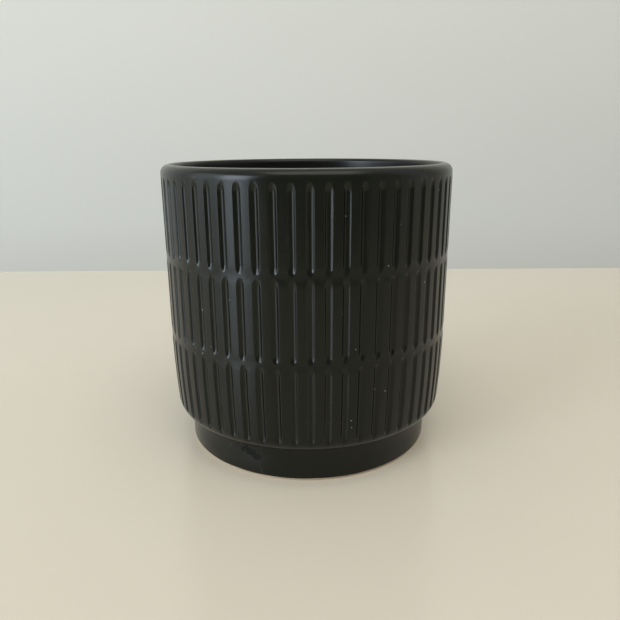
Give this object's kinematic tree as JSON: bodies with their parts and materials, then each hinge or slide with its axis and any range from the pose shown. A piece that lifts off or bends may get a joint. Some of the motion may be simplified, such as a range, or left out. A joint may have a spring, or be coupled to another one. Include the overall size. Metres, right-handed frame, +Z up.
{
  "type": "candle jar",
  "caption": "Empty cylindrical stoneware candle jar with round-ended vertical flutes in tiers, smooth bands, rounded rim and a plain foot, glazed satin black.",
  "frame": {"origin": "centre of the foot ring's bottom face, on the surface the jar stands on", "axes": "+Z up along the jar's axis, out of the mouth; -Y is the front"},
  "size_m": [0.09, 0.09, 0.089],
  "materials": {
    "stoneware": "matt unglazed clay",
    "satin_glaze": "satin",
    "gloss_glaze": "semi-gloss"
  },
  "bodies": {
    "root": {"clay_body": "stoneware", "outer_glaze": "satin_glaze", "inner_glaze": "gloss_glaze", "base_glaze": "satin_glaze"}
  },
  "joints": []
}
